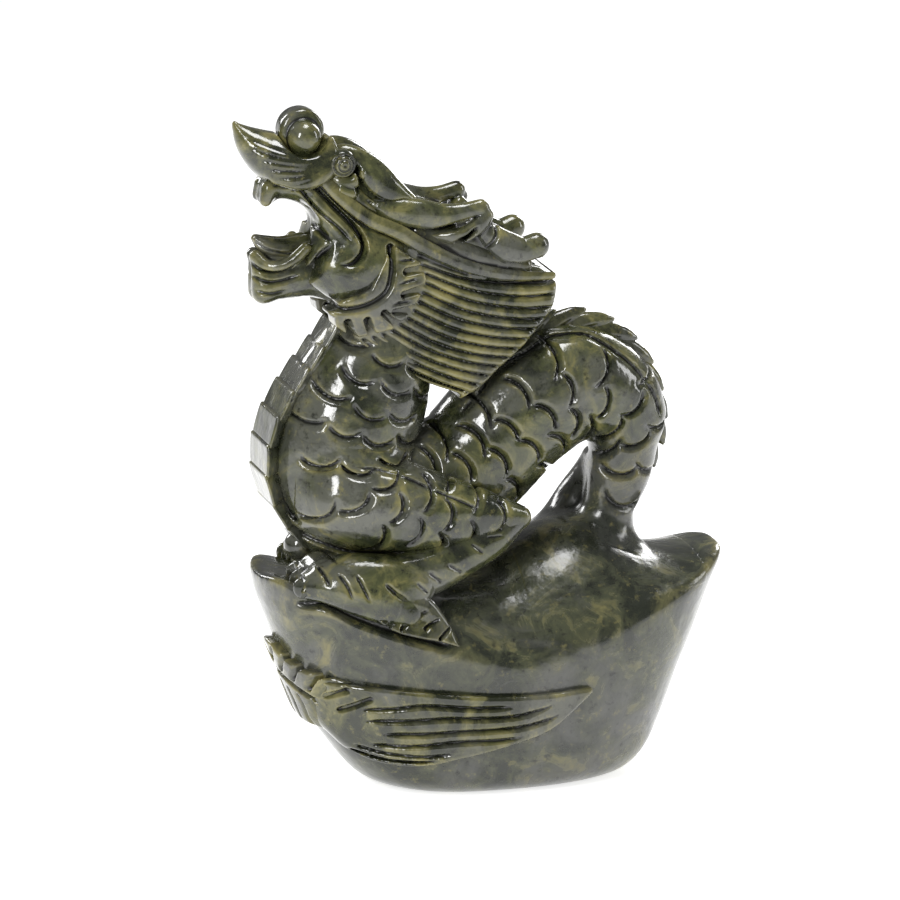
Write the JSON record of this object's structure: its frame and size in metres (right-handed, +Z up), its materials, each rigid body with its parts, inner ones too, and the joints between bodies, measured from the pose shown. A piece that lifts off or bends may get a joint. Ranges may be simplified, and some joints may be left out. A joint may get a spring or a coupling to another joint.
{
  "type": "carved stone figurine",
  "caption": "Carved polished stone dragon with an open mouth and arched tail, standing on a solid boat-shaped ingot with a flat oval foot.",
  "frame": {"origin": "middle of the ingot's flat foot, on the surface it stands on", "axes": "+Z up through the figure; +X from the dragon's face towards its tail, so the face looks along -X; Y is the thin direction, across the ingot"},
  "size_m": [0.1937, 0.0956, 0.2697],
  "materials": {
    "stone_dark": "polished dark serpentine, grey and olive clouds",
    "stone_body": "polished olive green serpentine",
    "stone_light": "polished olive serpentine, paler on carved ridges"
  },
  "bodies": {
    "root": {"ingot_base": "stone_dark", "near_wing_relief": "stone_light", "far_wing_relief": "stone_light", "end_tufts": "stone_light", "chest": "stone_body", "belly_plates": "stone_light", "rear_body": "stone_body", "tail_root": "stone_dark", "dorsal_fins": "stone_light", "near_thigh": "stone_body", "far_thigh": "stone_body", "near_shin": "stone_body", "far_shin": "stone_body", "near_elbow_tuft": "stone_light", "far_elbow_tuft": "stone_light", "near_foot": "stone_body", "far_foot": "stone_body", "near_claws": "stone_light", "far_claws": "stone_light", "pearl": "stone_light", "skull": "stone_body", "lower_jaw": "stone_body", "tongue": "stone_light", "nose_shell": "stone_light", "nose_curl": "stone_body", "near_eye": "stone_light", "far_eye": "stone_light", "near_brow": "stone_body", "far_brow": "stone_body", "near_mane": "stone_light", "far_mane": "stone_light", "near_horns": "stone_body", "far_horns": "stone_body", "near_cheek_frill": "stone_light", "far_cheek_frill": "stone_light"}
  },
  "joints": []
}
